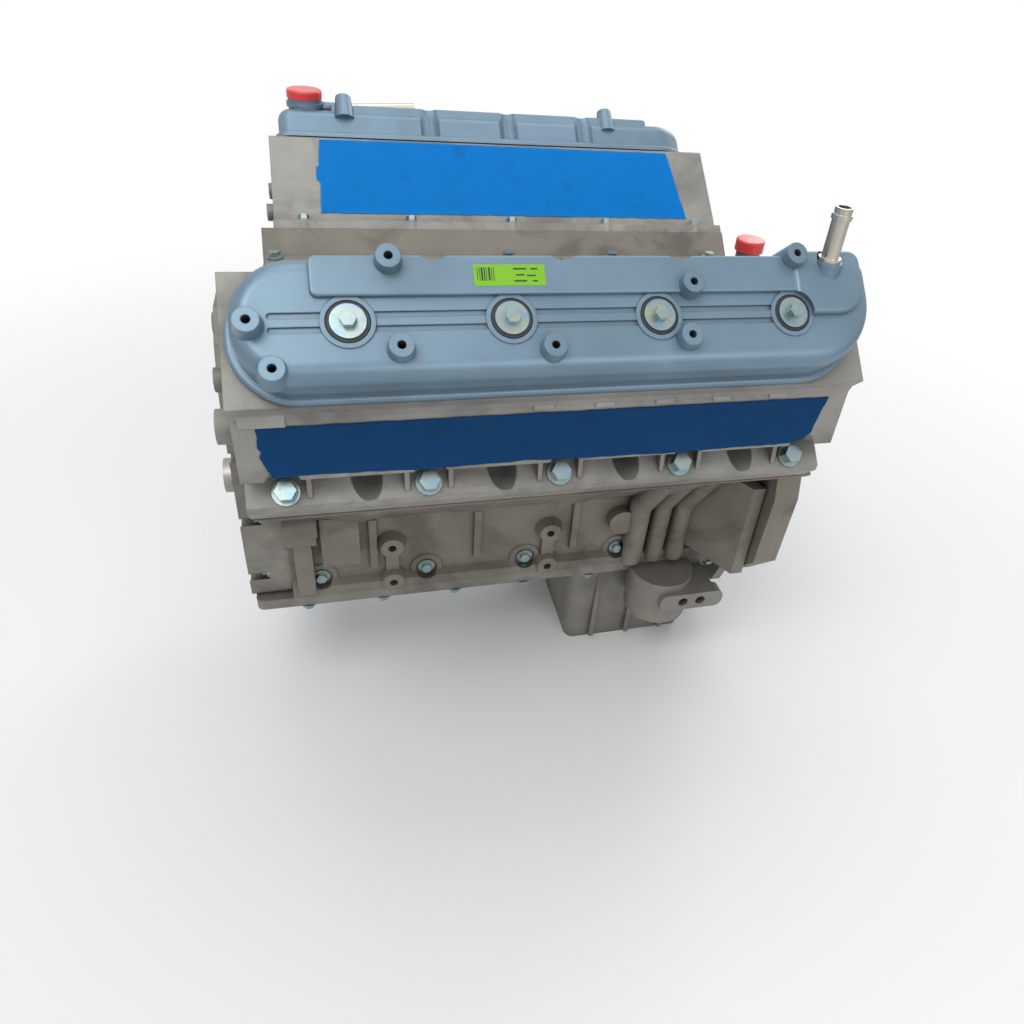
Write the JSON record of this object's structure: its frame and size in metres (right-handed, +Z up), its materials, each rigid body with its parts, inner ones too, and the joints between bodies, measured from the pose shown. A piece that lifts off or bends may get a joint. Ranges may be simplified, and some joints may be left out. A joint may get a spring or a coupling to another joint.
{
  "type": "overhead-valve v8 engine",
  "caption": "Complete long-block V8 petrol engine with turning crankshaft and camshaft, sliding pistons, cast covers, oil pan and film-covered ports.",
  "frame": {"origin": "centre of the crankshaft's flywheel flange face", "axes": "+X along the crankshaft out of the rear of the engine, +Y towards the right bank, +Z up"},
  "size_m": [0.594, 0.584, 0.612],
  "materials": {
    "block_casting": "sand cast, bead blasted",
    "head_casting": "cast with machined faces",
    "cover_casting": "smooth satin die cast",
    "lower_casting": "as cast",
    "grey_iron": "machined",
    "forged_steel": "ground journals",
    "machined_steel": "machined",
    "zinc_steel": "zinc plated",
    "piston_alloy": "machined",
    "bearing_metal": "plain bearing lining",
    "plated_brass": "nickel plated",
    "black_rubber": "moulded",
    "black_plastic": "moulded",
    "red_plastic": "moulded",
    "blue_film": "thin shipping film"
  },
  "bodies": {
    "engine": {"engine_block": "block_casting", "cylinder_liners": "grey_iron", "main_bearing_caps": "grey_iron", "main_bearing_shells": "bearing_metal", "main_cap_bolts": "machined_steel", "side_cap_bolts": "zinc_steel", "cam_bearings": "bearing_metal", "core_plugs": "plated_brass", "dowel_pins": "machined_steel", "valve_lifters": "machined_steel", "lifter_guides": "black_plastic", "pushrods": "machined_steel", "rocker_arms": "machined_steel", "rocker_stands": "lower_casting", "intake_valves": "machined_steel", "exhaust_valves": "machined_steel", "valve_springs": "forged_steel", "left_cylinder_head": "head_casting", "right_cylinder_head": "head_casting", "head_gaskets": "machined_steel", "head_bolts": "zinc_steel", "left_rocker_cover": "cover_casting", "right_rocker_cover": "cover_casting", "cover_gaskets": "black_rubber", "rocker_cover_grommets": "black_rubber", "rocker_cover_bolts": "zinc_steel", "valley_cover": "lower_casting", "front_cover": "lower_casting", "rear_cover": "lower_casting", "crank_seals": "black_rubber", "cover_and_pan_bolts": "zinc_steel", "timing_chain": "machined_steel", "chain_damper": "black_plastic", "cam_retainer_plate": "machined_steel", "oil_pump_housing": "lower_casting", "oil_pan": "lower_casting", "drain_plug": "zinc_steel", "oil_filter_nipple": "machined_steel", "windage_tray": "machined_steel", "oil_pickup_tube": "machined_steel", "port_films": "blue_film", "breather_fittings": "plated_brass"},
    "crank": {"crankshaft": "forged_steel", "crank_sprocket": "machined_steel", "reluctor_wheel": "machined_steel", "oil_pump_inner_rotor": "machined_steel", "connecting_rods": "forged_steel"},
    "cam": {"camshaft": "forged_steel", "cam_sprocket": "machined_steel"},
    "pump_outer_rotor": {"oil_pump_outer_rotor": "machined_steel"},
    "filler_cap": {"oil_filler_cap": "red_plastic"},
    "port_cap": {"red_port_cap": "red_plastic"},
    "piston_1": {"piston_1": "piston_alloy"},
    "piston_2": {"piston_2": "piston_alloy"},
    "piston_3": {"piston_3": "piston_alloy"},
    "piston_4": {"piston_4": "piston_alloy"},
    "piston_5": {"piston_5": "piston_alloy"},
    "piston_6": {"piston_6": "piston_alloy"},
    "piston_7": {"piston_7": "piston_alloy"},
    "piston_8": {"piston_8": "piston_alloy"}
  },
  "joints": [
    {"name": "crank_turn", "type": "hinge", "parent": "engine", "child": "crank", "pos_m": [-0.2755, 0, 0], "axis": [1, 0, 0], "continuous": true, "deforming": ["connecting_rods", "timing_chain", "valve_lifters", "pushrods", "rocker_arms", "intake_valves", "exhaust_valves", "valve_springs"]},
    {"name": "cam_turn", "type": "hinge", "parent": "engine", "child": "cam", "pos_m": [-0.2755, 0, 0.1248], "axis": [1, 0, 0], "continuous": true},
    {"name": "pump_rotor_turn", "type": "hinge", "parent": "engine", "child": "pump_outer_rotor", "pos_m": [-0.557, 0, 0.003], "axis": [1, 0, 0], "continuous": true},
    {"name": "piston_1_slide", "type": "slide", "parent": "engine", "child": "piston_1", "axis": [0, -0.7071, 0.7071], "range_m": [-0.07507, 0.01693]},
    {"name": "piston_2_slide", "type": "slide", "parent": "engine", "child": "piston_2", "axis": [0, 0.7071, 0.7071], "range_m": [-0.07507, 0.01693]},
    {"name": "piston_3_slide", "type": "slide", "parent": "engine", "child": "piston_3", "axis": [0, -0.7071, 0.7071], "range_m": [-0.07507, 0.01693]},
    {"name": "piston_4_slide", "type": "slide", "parent": "engine", "child": "piston_4", "axis": [0, 0.7071, 0.7071], "range_m": [-0.01002, 0.08198]},
    {"name": "piston_5_slide", "type": "slide", "parent": "engine", "child": "piston_5", "axis": [0, -0.7071, 0.7071], "range_m": [-0.01002, 0.08198]},
    {"name": "piston_6_slide", "type": "slide", "parent": "engine", "child": "piston_6", "axis": [0, 0.7071, 0.7071], "range_m": [-0.07507, 0.01693]},
    {"name": "piston_7_slide", "type": "slide", "parent": "engine", "child": "piston_7", "axis": [0, -0.7071, 0.7071], "range_m": [-0.01002, 0.08198]},
    {"name": "piston_8_slide", "type": "slide", "parent": "engine", "child": "piston_8", "axis": [0, 0.7071, 0.7071], "range_m": [-0.01002, 0.08198]},
    {"name": "filler_cap_pull", "type": "slide", "parent": "engine", "child": "filler_cap", "axis": [0, 0, 1], "range_m": [0, 0.03]},
    {"name": "port_cap_pull", "type": "slide", "parent": "engine", "child": "port_cap", "axis": [0, 0, 1], "range_m": [0, 0.02]}
  ],
  "couplings": [
    {"joint": "cam_turn", "follows": "crank_turn", "ratio": 0.5},
    {"joint": "pump_rotor_turn", "follows": "crank_turn", "ratio": 0.90909},
    {"joint": "piston_6_slide", "follows": "piston_1_slide", "ratio": 1},
    {"joint": "piston_3_slide", "follows": "piston_2_slide", "ratio": 1},
    {"joint": "piston_7_slide", "follows": "piston_4_slide", "ratio": 1},
    {"joint": "piston_8_slide", "follows": "piston_5_slide", "ratio": 1}
  ]
}
